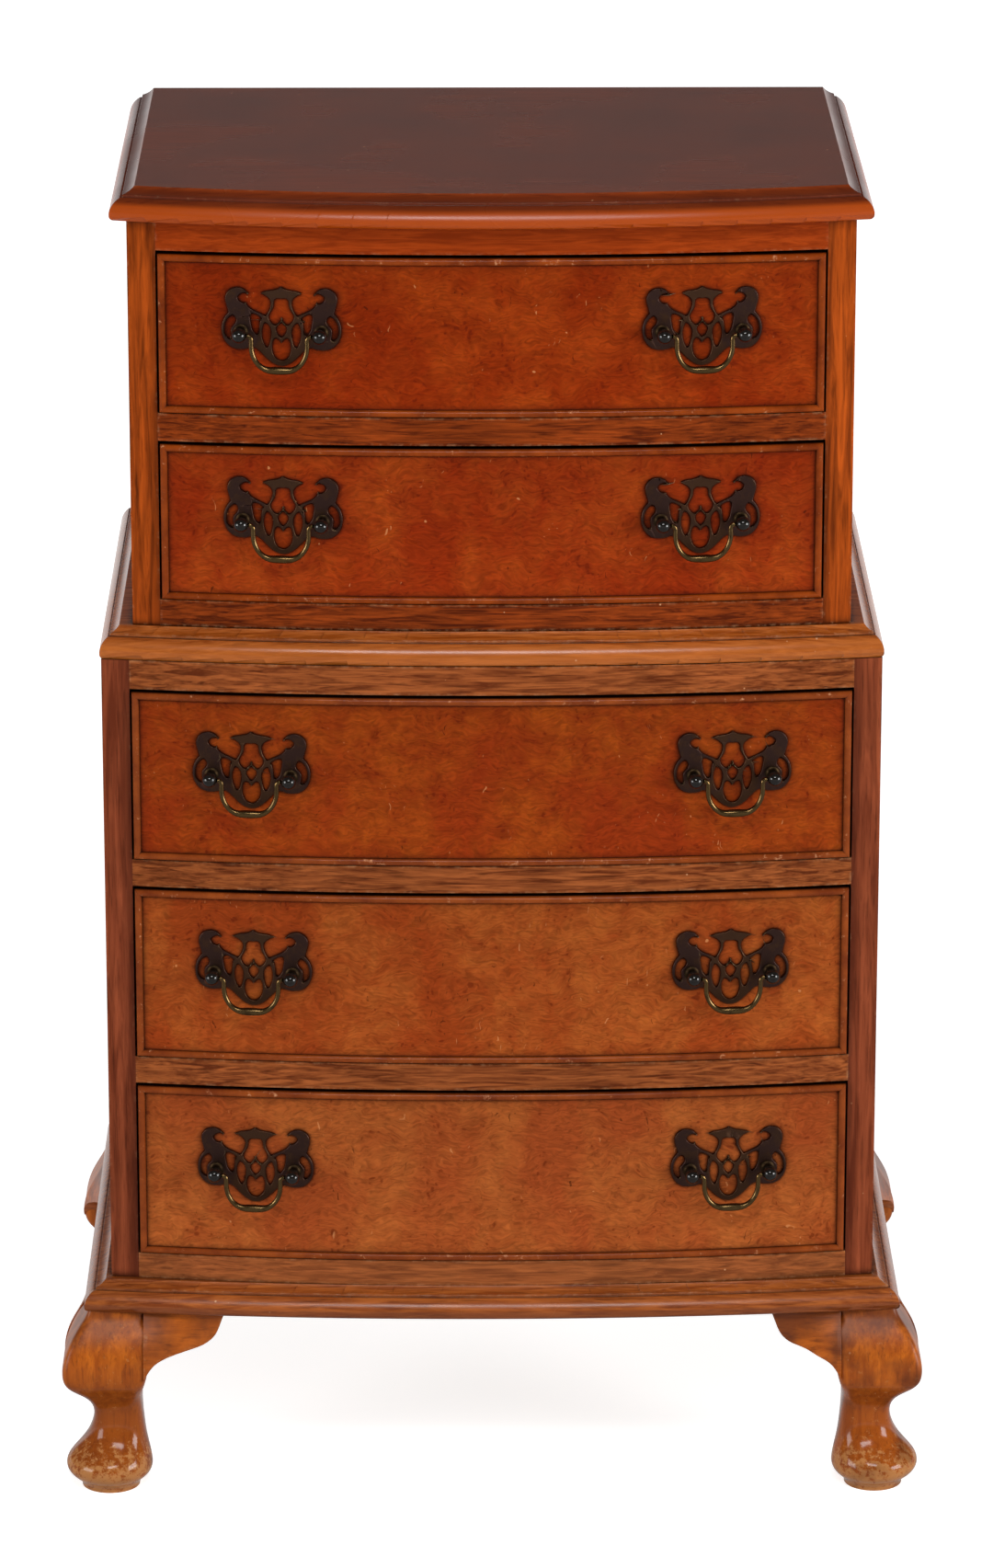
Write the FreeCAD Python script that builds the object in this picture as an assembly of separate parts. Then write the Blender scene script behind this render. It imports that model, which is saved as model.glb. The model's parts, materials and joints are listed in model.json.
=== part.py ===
import FreeCAD, Part
import math
import os

# Bow-front chest-on-chest on cabriole legs. Millimetres, X to the right, Y to the back, Z up.
# The origin is on the floor, at the middle of the whole object's plan.

V = FreeCAD.Vector

# Driving sizes
LOWER_WIDTH = 498.0
UPPER_STEP = 20.0
CASE_DEPTH = 322.0
UPPER_SETBACK = 11.5
LOWER_BOW = 20.0
UPPER_BOW = 18.0
LEG_HEIGHT = 126.0
LOWER_OPENINGS = (118.0, 116.0, 114.0)
LOWER_RAILS = (17.0, 18.0, 18.0, 19.0)
UPPER_OPENINGS = (104.0, 105.0)
UPPER_RAILS = (17.0, 18.0, 20.0)

# Moulded boards: thickness, reach of the nose past the case, depth of the moulding, bow
BASE_THICK, BASE_REACH, BASE_MOULD, BASE_BOW = 19.0, 17.5, 14.0, 16.5
WAIST_THICK, WAIST_REACH, WAIST_MOULD, WAIST_BOW = 20.0, 1.0, 12.5, 20.0
TOP_THICK, TOP_REACH, TOP_MOULD, TOP_BOW = 20.0, 10.5, 15.8, 28.0
TOP_FRONT_REACH = 9.0

# Case boards
SIDE = 18.0
BACK_PANEL = 8.0
REBATE = 8.0
RAIL_DEPTH = 46.0
CASE_BOTTOM = 10.0
GUIDE_WIDTH = 24.0
TENON = 8.0
TENON_SHOULDER = 4.0
TENON_FRONT = 10.0
TENON_DEPTH = 28.0
STOP = (30.0, 14.0, 6.0)
FRAME_RAIL = 58.0

# Drawers
SIDE_GAP = 1.2
TOP_GAP = 2.0
BOTTOM_GAP = 0.5
RUN_GAP = 0.3
FRONT_END = 19.0
LINING = 8.0
DRAWER_BOTTOM = 5.0
GROOVE = 4.0
GROOVE_UP = 8.0
BACK_ROOM = 6.0
DOVETAIL_LAP = 9.0
DOVETAIL_SLOPE = 8.0
BEAD = 4.8
BEAD_PROUD = 2.4
BEAD_SEAT = 6.0

# Handles
BORING = 50.8
UPPER_HANDLE_IN = 97.0
LOWER_HANDLE_IN = 95.5
HANDLE_UP = 2.6
PLATE = 1.3
PLATE_FIT = 0.02
BALL_OUT = 14.4
BALL = 4.7
SHANK = 2.0
SHANK_FIT = 0.05
NUT = 5.0
NUT_THICK = 3.0
SPOT = 1.3
PIN = 1.25
PIN_FIT = 0.05
PIN_DEPTH = 3.2
BAIL = 1.6
BAIL_DROP = 20.8
BAIL_CORNER = 10.5
BAIL_ELBOW = 2.6
BAIL_GRIP = 2.5
BAIL_FREE = 0.5

# Derived places
BACK = (BASE_REACH + BASE_BOW + CASE_DEPTH) / 2
LOWER_CORNER = BACK - CASE_DEPTH
UPPER_CORNER = LOWER_CORNER + UPPER_SETBACK
LOWER_HALF = LOWER_WIDTH / 2
UPPER_HALF = LOWER_HALF - UPPER_STEP
LOWER_FLOOR = LEG_HEIGHT + BASE_THICK
WAIST_UNDER = LOWER_FLOOR + sum(LOWER_OPENINGS) + sum(LOWER_RAILS)
UPPER_FLOOR = WAIST_UNDER + WAIST_THICK
TOP_UNDER = UPPER_FLOOR + sum(UPPER_OPENINGS) + sum(UPPER_RAILS)
TOP = TOP_UNDER + TOP_THICK

os.makedirs("parts", exist_ok=True)


def line(a, b):
    return Part.LineSegment(a, b).toShape()


def arc(a, m, b):
    return Part.Arc(a, m, b).toShape()


def closed(points):
    return Part.Face(Part.makePolygon(list(points) + [points[0]]))


def box(x0, x1, y0, y1, z0, z1):
    return Part.makeBox(x1 - x0, y1 - y0, z1 - z0, V(x0, y0, z0))


def mirrored(shape):
    return shape.mirror(V(0, 0, 0), V(1, 0, 0))


def save(name, *shapes):
    shape = shapes[0] if len(shapes) == 1 else Part.makeCompound(list(shapes))
    shape.exportStep("parts/" + name + ".step")


class Bow:
    """Plan arc through the two front corners, forward by sag in the middle."""

    def __init__(self, half, corner, sag):
        self.radius = (half ** 2 + sag ** 2) / (2 * sag)
        self.middle = corner - sag + self.radius

    def y(self, x, inset=0.0):
        return self.middle - math.sqrt((self.radius - inset) ** 2 - x ** 2)

    def slab(self, x0, x1, back, z0, z1, inset=0.0):
        """Board with its front edge on the arc and its other edges straight."""
        mid = (x0 + x1) / 2
        a = V(x0, self.y(x0, inset), z0)
        b = V(x1, self.y(x1, inset), z0)
        front = arc(a, V(mid, self.y(mid, inset), z0), b)
        c = V(x1, back, z0)
        d = V(x0, back, z0)
        face = Part.Face(Part.Wire([front, line(b, c), line(c, d), line(d, a)]))
        return face.extrude(V(0, 0, z1 - z0))


LOWER_FRONT = Bow(LOWER_HALF, LOWER_CORNER, LOWER_BOW)
UPPER_FRONT = Bow(UPPER_HALF, UPPER_CORNER, UPPER_BOW)


# Moulded boards: top, waist and base share one edge, a cove and a fillet over a thumb nose

def mould_edges(place, depth, thick):
    """Edges of the moulding from the top arris to the underside; place maps (in, up) to space."""
    k = depth / 15.8
    t = thick / 20.0

    def at(out, drop):
        return place(depth - out * k, -drop * t)

    return [
        arc(at(0, 0), at(3.1, 2.7), at(7.5, 4.5)),
        line(at(7.5, 4.5), at(7.5, 6.2)),
        line(at(7.5, 6.2), at(9.0, 6.2)),
        arc(at(9.0, 6.2), at(13.0, 9.3), at(15.8, 14.8)),
        line(at(15.8, 14.8), at(15.8, 16.2)),
        arc(at(15.8, 16.2), at(15.1, 18.6), at(13.0, 20.0)),
    ]


def moulded_board(half, corner, sag, depth, thick, top):
    """Board moulded on the front and sides: the profile run straight, met by the profile on the arc."""
    bow = Bow(half, corner, sag)

    def left(inward, up):
        return V(-half + inward, 0, top + up)

    def right(inward, up):
        return V(half - inward, 0, top + up)

    def front(inward, up):
        return V(0, bow.middle - bow.radius + inward, top + up)

    ends_left = mould_edges(left, depth, thick)
    ends_right = mould_edges(right, depth, thick)
    upper = line(left(depth, 0), right(depth, 0))
    foot = depth * (15.8 - 13.0) / 15.8
    lower = line(left(foot, -thick), right(foot, -thick))
    section = Part.Face(Part.Wire(Part.__sortEdges__(ends_left + [lower, upper] + ends_right)))
    across = section.extrude(V(0, 2 * BACK + sag, 0))
    across.translate(V(0, -BACK - sag, 0))
    far = 2 * BACK + 60
    edges = mould_edges(front, depth, thick)
    edges.append(line(front(foot, -thick), front(far, -thick)))
    edges.append(line(front(far, -thick), front(far, 0)))
    edges.append(line(front(far, 0), front(depth, 0)))
    blade = Part.Face(Part.Wire(Part.__sortEdges__(edges)))
    axis = V(0, bow.middle, 0)
    turn = math.degrees(math.atan2(half, bow.middle - BACK)) + 3
    blade.rotate(axis, V(0, 0, 1), -turn)
    along = blade.revolve(axis, V(0, 0, 1), 2 * turn)
    board = across.common(along)
    return board.common(box(-half - 1, half + 1, -2 * BACK, BACK, top - thick - 1, top + 1)).Solids[0]


top_board = moulded_board(UPPER_HALF + TOP_REACH, UPPER_CORNER - TOP_FRONT_REACH, TOP_BOW, TOP_MOULD,
                          TOP_THICK, TOP)
waist_board = moulded_board(LOWER_HALF + WAIST_REACH, LOWER_CORNER - WAIST_REACH, WAIST_BOW, WAIST_MOULD,
                            WAIST_THICK, UPPER_FLOOR)
base_board = moulded_board(LOWER_HALF + BASE_REACH, LOWER_CORNER - BASE_REACH, BASE_BOW, BASE_MOULD,
                           BASE_THICK, LOWER_FLOOR)
save("top_board", top_board)
save("waist_board", waist_board)


# Legs: rounded-square sections set out from the case corner, a full knee, a slim ankle and a pad foot

# Height from the floor, reach outside the case corner, reach inside it, squareness of the section
FOOT_STATIONS = (
    (0.0, 21.5, 16.5, 2.0),
    (3.5, 22.5, 17.5, 2.0),
    (8.0, 27.5, 22.0, 2.0),
    (14.0, 31.3, 25.0, 2.0),
    (19.0, 30.8, 24.8, 2.0),
    (26.0, 25.2, 23.2, 2.1),
    (34.0, 18.2, 21.2, 2.4),
    (44.0, 13.9, 19.8, 2.8),
    (53.0, 13.4, 19.0, 3.3),
    (61.0, 16.4, 18.8, 4.2),
)
# The same, with the height as a drop from the top of the leg
KNEE_STATIONS = (
    (56.0, 24.2, 19.6, 6.5),
    (48.0, 30.8, 21.6, 9.0),
    (40.0, 32.4, 23.3, 11.0),
    (31.0, 31.2, 23.5, 12.0),
    (22.0, 28.0, 23.5, 12.0),
    (11.0, 21.6, 23.5, 12.0),
    (0.0, 15.5, 23.5, 12.0),
)
LEG_STATIONS = FOOT_STATIONS + tuple((LEG_HEIGHT - drop, *rest) for drop, *rest in KNEE_STATIONS)
SECTION_POINTS = 48
LEG_TENON = 9.0
LEG_TENON_LENGTH = 12.0
LEG_TENON_FIT = 0.05
REAR_FOOT = 28.75
REAR_DEEP = 20.0


def section(cx, cy, hx, hy, n, z):
    """Closed curve on a superellipse, the squarer the greater n is, from its inner back corner round."""
    points = []
    for i in range(SECTION_POINTS):
        a = 2 * math.pi * (i / SECTION_POINTS + 1 / 8)
        c = math.cos(a)
        s = math.sin(a)
        r = (abs(c) ** n + abs(s) ** n) ** (-1 / n)
        points.append(V(cx + hx * r * c, cy + hy * r * s, z))
    curve = Part.BSplineCurve()
    curve.interpolate(Points=points, PeriodicFlag=True, Parameters=list(range(SECTION_POINTS + 1)))
    return Part.Wire(curve.toShape())


def leg(front):
    """Left leg; a front one stands on the diagonal, a rear one faces the side with a straight back."""
    rings = []
    for z, out, inside, n in LEG_STATIONS:
        half = (out + inside) / 2
        shift = (inside - out) / 2
        cx = -LOWER_HALF + shift
        if front:
            rings.append(section(cx, LOWER_CORNER + shift, half, half, n, z))
        else:
            deep = half if n < 2.3 else REAR_DEEP
            rings.append(section(cx, BACK - REAR_FOOT, half, deep, n, z))
    body = Part.makeLoft(rings, True, False)
    top = LEG_STATIONS[-1]
    x = -LOWER_HALF + (top[2] - top[1]) / 2
    y = LOWER_CORNER + (top[2] - top[1]) / 2 if front else BACK - REAR_FOOT
    peg = Part.makeCylinder(LEG_TENON, LEG_TENON_LENGTH, V(x, y, LEG_HEIGHT))
    hole = Part.makeCylinder(LEG_TENON + LEG_TENON_FIT, LEG_TENON_LENGTH + 0.5, V(x, y, LEG_HEIGHT))
    return body.fuse(peg).removeSplitter().Solids[0], hole


front_leg, front_hole = leg(True)
rear_leg, rear_hole = leg(False)
save("leg_front_left", front_leg)
save("leg_front_right", mirrored(front_leg))
save("leg_rear_left", rear_leg)
save("leg_rear_right", mirrored(rear_leg))


# Base frame: the moulded board opened in the middle, its front mitred to the sides, a back rail between

inner_x = LOWER_HALF - FRAME_RAIL + BASE_REACH
inner_front = LOWER_CORNER + FRAME_RAIL - BASE_REACH
inner_back = BACK - FRAME_RAIL
ring = base_board.cut(box(-inner_x, inner_x, inner_front, inner_back, LEG_HEIGHT - 1, LOWER_FLOOR + 1))
for hole in (front_hole, rear_hole, mirrored(front_hole), mirrored(rear_hole)):
    ring = ring.cut(hole)
reach = FRAME_RAIL + 2 * BASE_BOW
wedge = closed([V(-inner_x, inner_front, LEG_HEIGHT), V(inner_x, inner_front, LEG_HEIGHT),
                V(inner_x + reach, inner_front - reach, LEG_HEIGHT),
                V(-inner_x - reach, inner_front - reach, LEG_HEIGHT)]).extrude(V(0, 0, BASE_THICK))
frame_front = ring.common(wedge)
rest = ring.cut(wedge)
frame_back = rest.common(box(-inner_x, inner_x, inner_back, BACK, LEG_HEIGHT, LOWER_FLOOR))
sides = rest.cut(box(-inner_x, inner_x, inner_back, BACK, LEG_HEIGHT, LOWER_FLOOR))
save("base_frame", *(frame_front.Solids + sides.Solids + frame_back.Solids))


# Knee brackets: carved ears glued beside the legs, flush with the knee and dying away under the base frame

FRONT_EAR_LEFT = 51.5
FRONT_EAR_RIGHT = 44.0
SIDE_EAR = 46.0
EAR_BACK = 6.0
EAR_LAP = 2.5
EAR_PROUD = 0.4
EAR_TIP = 43.0
EAR_END = 0.12


def bracket(start, long):
    """Front bracket of the left leg: its face carries on the knee's profile, a shaving proud of it, and its
    lower edge is an ogee."""
    joint = -LOWER_HALF + start
    flat = KNEE_STATIONS[-1][1]

    def rib(x, share):
        face = []
        for drop, out, _, _ in KNEE_STATIONS:
            face.append(V(x, LOWER_CORNER - EAR_PROUD - flat - (out - flat) * share, LEG_HEIGHT - drop))
        curve = Part.BSplineCurve()
        curve.interpolate(face)
        low = V(x, LOWER_CORNER + EAR_BACK, face[0].z)
        high = V(x, LOWER_CORNER + EAR_BACK, face[-1].z)
        return Part.Wire([curve.toShape(), line(face[-1], high), line(high, low), line(low, face[0])])

    ribs = [rib(joint - EAR_LAP, 1.0), rib(joint, 1.0), rib(joint + long, EAR_END)]
    block = Part.makeLoft(ribs, True, True)

    def at(along, drop):
        return V(joint + along, LOWER_CORNER - 60, LEG_HEIGHT - drop)

    ogee = Part.BSplineCurve()
    ogee.interpolate([at(long, 0), at(long - 3.2, 7.0), at(long - 7.3, 16.0), at(long - 13.0, 20.8),
                      at(long - 23.0, 24.2), at(12.7, 28.4), at(4.4, 32.7), at(0.3, 37.6),
                      at(-EAR_LAP, EAR_TIP)])
    edge = [ogee.toShape(), line(at(-EAR_LAP, EAR_TIP), at(-EAR_LAP, 0)), line(at(-EAR_LAP, 0), at(long, 0))]
    return block.common(Part.Face(Part.Wire(edge)).extrude(V(0, 120, 0)))


def across_corner(shape):
    """Front shape turned to the side of the same corner, by mirroring in the corner's diagonal."""
    return shape.mirror(V(-LOWER_HALF, LOWER_CORNER, 0), V(1, -1, 0))


inside = LEG_STATIONS[-1][2]
ear_left = bracket(inside, FRONT_EAR_LEFT).cut(front_leg).Solids[0]
ear_right = mirrored(bracket(inside, FRONT_EAR_RIGHT).cut(front_leg).Solids[0])
ear_side = across_corner(bracket(inside, SIDE_EAR)).cut(front_leg).Solids[0]
rear_face = REAR_FOOT + REAR_DEEP
ear_rear = across_corner(bracket(rear_face, SIDE_EAR)).mirror(V(0, (LOWER_CORNER + BACK) / 2, 0), V(0, 1, 0))
ear_rear = ear_rear.cut(rear_leg).Solids[0]
save("knee_brackets", ear_left, ear_right, ear_side, mirrored(ear_side), ear_rear, mirrored(ear_rear))


# Cases: sides, rails tenoned into them, bottom, back panel, drawer guides

def tenon(half, corner, z0, z1, extra=0.0):
    """Stub tenon on the left end of a rail, or its mortise when extra is given."""
    shoulder = half - SIDE
    return box(-shoulder - TENON - extra, -shoulder, corner + TENON_FRONT, corner + TENON_FRONT + TENON_DEPTH,
               z0 + TENON_SHOULDER, z1 - TENON_SHOULDER)


def levels(floor, rails, openings):
    """Heights of the rails and of the drawer openings, from the bottom up."""
    z = floor
    rail_spans = []
    open_spans = []
    for i, rail in enumerate(rails):
        rail_spans.append((z, z + rail))
        z += rail
        if i < len(openings):
            open_spans.append((z, z + openings[i]))
            z += openings[i]
    return rail_spans, open_spans


def case(name, bow, half, corner, floor, ceiling, rails, openings):
    rail_spans, open_spans = levels(floor, rails, openings)
    inner = half - SIDE
    back_face = BACK - BACK_PANEL
    a = V(-half, bow.y(half), floor)
    b = V(-inner, bow.y(inner), floor)
    mid = (half + inner) / 2
    c = V(-inner, back_face, floor)
    d = V(-inner - REBATE, back_face, floor)
    e = V(-inner - REBATE, BACK, floor)
    f = V(-half, BACK, floor)
    edge = arc(a, V(-mid, bow.y(mid), floor), b)
    plan = Part.Wire([edge, line(b, c), line(c, d), line(d, e), line(e, f), line(f, a)])
    side = Part.Face(plan).extrude(V(0, 0, ceiling - floor))
    bars = []
    for z0, z1 in rail_spans:
        side = side.cut(tenon(half, corner, z0, z1, 0.5))
        peg = tenon(half, corner, z0, z1)
        bar = bow.slab(-inner, inner, corner + RAIL_DEPTH, z0, z1)
        bars.append(bar.fuse([peg, mirrored(peg)]).removeSplitter().Solids[0])
    save(name + "_side_left", side)
    save(name + "_side_right", mirrored(side))
    save(name + "_rails", *bars)
    save(name + "_back", box(-inner - REBATE, inner + REBATE, back_face, BACK, floor, ceiling))
    behind = corner + RAIL_DEPTH
    save(name + "_bottom", box(-inner, inner, behind, back_face, floor, floor + CASE_BOTTOM))
    strips = []
    for i, (z0, z1) in enumerate(rail_spans):
        low = z0 + CASE_BOTTOM if i == 0 else z0
        strip = box(-inner, -inner + GUIDE_WIDTH, behind, back_face, low, z1)
        strips += [strip, mirrored(strip)]
    inset = inner - SIDE_GAP
    stop_front = bow.y(inset) + FRONT_END + RUN_GAP
    for z0, z1 in open_spans:
        x = inner / 2
        block = box(-x - STOP[0] / 2, -x + STOP[0] / 2, stop_front, stop_front + STOP[1], z0, z0 + STOP[2])
        strips += [block, mirrored(block)]
    save(name + "_guides", *strips)
    return open_spans


lower_spans = case("lower", LOWER_FRONT, LOWER_HALF, LOWER_CORNER, LOWER_FLOOR, WAIST_UNDER, LOWER_RAILS,
                   LOWER_OPENINGS)
upper_spans = case("upper", UPPER_FRONT, UPPER_HALF, UPPER_CORNER, UPPER_FLOOR, TOP_UNDER, UPPER_RAILS,
                   UPPER_OPENINGS)


# Handles, drawn about the middle of a handle: X along the front, -Y outwards, Z up

# Left half of the plate's outline, from the crown's peak to the foot; each row ends at a sharp point
PLATE_EDGE = (
    ((0.0, 28.6), (-3.4, 26.6), (-7.0, 26.0), (-13.6, 23.6)),
    ((-13.6, 23.6), (-9.6, 21.6), (-7.2, 19.0), (-7.2, 15.4), (-10.2, 9.8)),
    ((-10.2, 9.8), (-15.6, 12.6), (-20.2, 15.2), (-22.2, 18.2)),
    ((-22.2, 18.2), (-25.4, 18.6), (-26.6, 20.8), (-25.2, 22.8), (-20.8, 22.4)),
    ((-20.8, 22.4), (-22.2, 25.4), (-26.8, 27.6), (-31.4, 26.0), (-34.0, 21.2), (-33.4, 16.0), (-32.2, 11.6)),
    ((-32.2, 11.6), (-35.2, 6.8), (-36.2, 1.0), (-34.6, -5.4), (-30.4, -9.6), (-24.6, -10.6), (-19.0, -9.2)),
    ((-19.0, -9.2), (-15.4, -10.4), (-12.0, -13.2), (-6.4, -17.6), (0.0, -19.6)),
)
# Piercings of the left half: beside the post, between wing and lyre, in the lyre's side
SIDE_PIERCINGS = (
    ((-29.6, 9.8), (-32.6, 6.6), (-33.8, 1.4), (-32.6, -3.4), (-31.0, -4.6), (-31.2, 0.6), (-28.6, 5.2),
     (-29.6, 9.8)),
    ((-12.4, 7.6), (-15.4, 9.8), (-18.8, 10.6), (-18.8, 4.6), (-17.4, 0.0), (-15.6, -1.6), (-14.4, 2.0),
     (-12.4, 7.6)),
    ((-10.2, 5.4), (-7.2, 1.6), (-7.2, -4.0), (-9.2, -8.6), (-11.4, -5.0), (-12.0, 0.0), (-10.2, 5.4)),
)
# Left halves of the piercings on the middle line: vase, lozenge, heart
MIDDLE_PIERCINGS = (
    ((0.0, 20.0), (-4.2, 19.0), (-4.6, 15.2), (-7.6, 8.8), (-4.6, 4.6), (0.0, 9.4)),
    ((0.0, 5.8), (-3.0, 1.2), (0.0, -3.0)),
    ((0.0, -7.0), (-4.4, -4.4), (-5.6, -9.0), (-4.2, -13.6), (0.0, -15.8)),
)


def fret(rows):
    """Block of the plate's thickness inside a line of smooth curves, one through each row of points."""
    edges = []
    for row in rows:
        curve = Part.BSplineCurve()
        curve.interpolate([V(u, -PLATE_FIT, w) for u, w in row])
        edges.append(curve.toShape())
    return Part.Face(Part.Wire(edges)).extrude(V(0, -PLATE, 0))


def other_half(rows):
    """The same rows mirrored, in the order that carries the line on."""
    return [[(-u, w) for u, w in reversed(row)] for row in reversed(rows)]


def back_plate():
    """Pierced plate: wings with hooked scrolls, a strapwork lyre between them and a crown on top."""
    plate = fret([*PLATE_EDGE, *other_half(PLATE_EDGE)])
    for row in SIDE_PIERCINGS:
        plate = plate.cut([fret([row]), fret(other_half([row]))])
    for row in MIDDLE_PIERCINGS:
        plate = plate.cut(fret([row, *other_half([row])]))
    for x in (-BORING / 2, BORING / 2):
        bore = Part.makeCylinder(SHANK + SHANK_FIT, 3 * PLATE, V(x, PLATE, 0), V(0, -1, 0))
        plate = plate.cut(bore)
    return plate.Solids[0]


def post(x, depth):
    """Turned post on -Y from the seat of its nut to the ball head, bored for the bail's pin."""
    t0 = -(depth + NUT_THICK + 1.5)
    foot = PLATE + 2 * PLATE_FIT
    neck = 2.7
    low = BALL_OUT - math.sqrt(BALL ** 2 - neck ** 2)
    tip = BALL_OUT + BALL

    def at(r, t):
        return V(x + r, -t, 0)

    outline = [line(at(0, t0), at(SHANK, t0)), line(at(SHANK, t0), at(SHANK, foot)),
               line(at(SHANK, foot), at(4.6, foot)), line(at(4.6, foot), at(4.6, foot + 1.2)),
               arc(at(4.6, foot + 1.2), at(3.2, foot + 2.2), at(neck, foot + 4.2)),
               line(at(neck, foot + 4.2), at(neck, low)),
               arc(at(neck, low), at(BALL, BALL_OUT), at(0, tip)),
               line(at(0, tip), at(0, t0))]
    body = Part.Face(Part.Wire(outline)).revolve(V(x, 0, 0), V(0, 1, 0), 360)
    side = -1 if x > 0 else 1
    mouth = V(x + side * (BALL + 1), -BALL_OUT, 0)
    bore = Part.makeCylinder(PIN + PIN_FIT, PIN_DEPTH + 1, mouth, V(-side, 0, 0))
    return body.cut(bore).Solids[0]


def nut(x, depth):
    disc_nut = Part.makeCylinder(NUT, NUT_THICK, V(x, depth, 0), V(0, 1, 0))
    return disc_nut.cut(Part.makeCylinder(SHANK + SHANK_FIT, NUT_THICK, V(x, depth, 0), V(0, 1, 0)))


def bail():
    """Bent rod hanging from its pins: elbows, arms and corners of even section, and a swelled grip."""
    end = BORING / 2 - BALL - BAIL_FREE
    arm = end - BAIL_ELBOW
    low = BAIL_CORNER - BAIL_DROP
    grip = arm - BAIL_CORNER
    tip = BORING / 2 - BALL + PIN_DEPTH - 0.4

    def at(u, w):
        return V(u, -BALL_OUT, w)

    def bent(start, normal, pivot, angle):
        ring = Part.Face(Part.Wire(Part.makeCircle(BAIL, start, normal)))
        return ring.revolve(pivot, V(0, 1, 0), angle)

    half = [
        Part.makeCylinder(PIN, tip - end, at(end, 0), V(1, 0, 0)),
        bent(at(end, 0), V(1, 0, 0), at(end, -BAIL_ELBOW), -90),
        Part.makeCylinder(BAIL, -BAIL_ELBOW - low, at(arm, low), V(0, 0, 1)),
        bent(at(arm, low), V(0, 0, 1), at(grip, low), 90),
    ]
    rim = BAIL - BAIL_DROP
    swell = Part.Wire([line(at(-grip, -BAIL_DROP), at(-grip, rim)),
                       arc(at(-grip, rim), at(0, BAIL_GRIP - BAIL_DROP), at(grip, rim)),
                       line(at(grip, rim), at(grip, -BAIL_DROP)),
                       line(at(grip, -BAIL_DROP), at(-grip, -BAIL_DROP))])
    spindle = Part.Face(swell).revolve(at(0, -BAIL_DROP), V(1, 0, 0), 360)
    return spindle.fuse(half + [mirrored(p) for p in half]).Solids[0]


PLATE_SHAPE = back_plate()
BAIL_SHAPE = bail()


# Drawers

def bead_strips(bow, wide, z0, z1, front):
    """Four bead strips with round noses, mitred at the corners, in the rebate round a drawer front."""
    r = BEAD / 2
    seat = bow.radius - BEAD_SEAT - 1
    nose = bow.radius + BEAD_PROUD - r
    axis = V(0, bow.middle, 0)
    mitre_from = math.degrees(math.asin((wide - 2 * BEAD) / (bow.radius + BEAD_PROUD)))
    past_end = math.degrees(math.asin(wide / bow.radius)) + 0.5

    def stretch(z, start, end):
        a = V(0, bow.middle - seat, z)
        b = V(0, bow.middle - nose, z)
        c = V(0, bow.middle - nose, z + BEAD)
        d = V(0, bow.middle - seat, z + BEAD)
        m = V(0, bow.middle - nose - r, z + r)
        face = Part.Face(Part.Wire([line(a, b), arc(b, m, c), line(c, d), line(d, a)]))
        face.rotate(axis, V(0, 0, 1), start)
        return face.revolve(axis, V(0, 0, 1), end - start)

    def lying(z, between_mitres):
        tip = stretch(z, -past_end, -mitre_from).common(between_mitres)
        return stretch(z, -mitre_from, mitre_from).fuse([tip, mirrored(tip)])

    x = wide - r
    tip = bow.y(x, -BEAD_PROUD)
    a = V(-wide, tip + r, z0)
    b = V(-wide + BEAD, tip + r, z0)
    c = V(-wide + BEAD, tip + BEAD_SEAT + 5, z0)
    d = V(-wide, tip + BEAD_SEAT + 5, z0)
    nose_arc = arc(a, V(-x, tip, z0), b)
    upright = Part.Face(Part.Wire([nose_arc, line(b, c), line(c, d), line(d, a)])).extrude(V(0, 0, z1 - z0))
    y = bow.y(0) - 30
    half = (z1 - z0) / 2
    left = closed([V(-wide, y, z0), V(-wide + half, y, z0 + half), V(-wide, y, z1)]).extrude(V(0, 120, 0))
    low = closed([V(-wide, y, z0), V(wide, y, z0), V(wide - half, y, z0 + half),
                  V(-wide + half, y, z0 + half)]).extrude(V(0, 120, 0))
    high = closed([V(-wide, y, z1), V(wide, y, z1), V(wide - half, y, z1 - half),
                   V(-wide + half, y, z1 - half)]).extrude(V(0, 120, 0))
    stile = upright.common(left).cut(front)
    strips = [lying(z0, low).cut(front), lying(z1 - BEAD, high).cut(front), stile, mirrored(stile)]
    return [max(s.Solids, key=lambda k: k.Volume) for s in strips]


def tails(wide, y_in, z0, z1):
    """Dovetails on the left drawer side, wider at their tips, lapped into the front."""
    tall = z1 - z0
    grow = DOVETAIL_LAP * math.tan(math.radians(DOVETAIL_SLOPE))
    shapes = []
    for i in range(3):
        z = z0 + tall * (2 * i + 1) / 6
        h = tall / 6 - 4.5
        face = closed([V(-wide, y_in, z - h), V(-wide, y_in, z + h),
                       V(-wide, y_in - DOVETAIL_LAP, z + h + grow),
                       V(-wide, y_in - DOVETAIL_LAP, z - h - grow)])
        shapes.append(face.extrude(V(LINING, 0, 0)))
    return shapes


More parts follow.
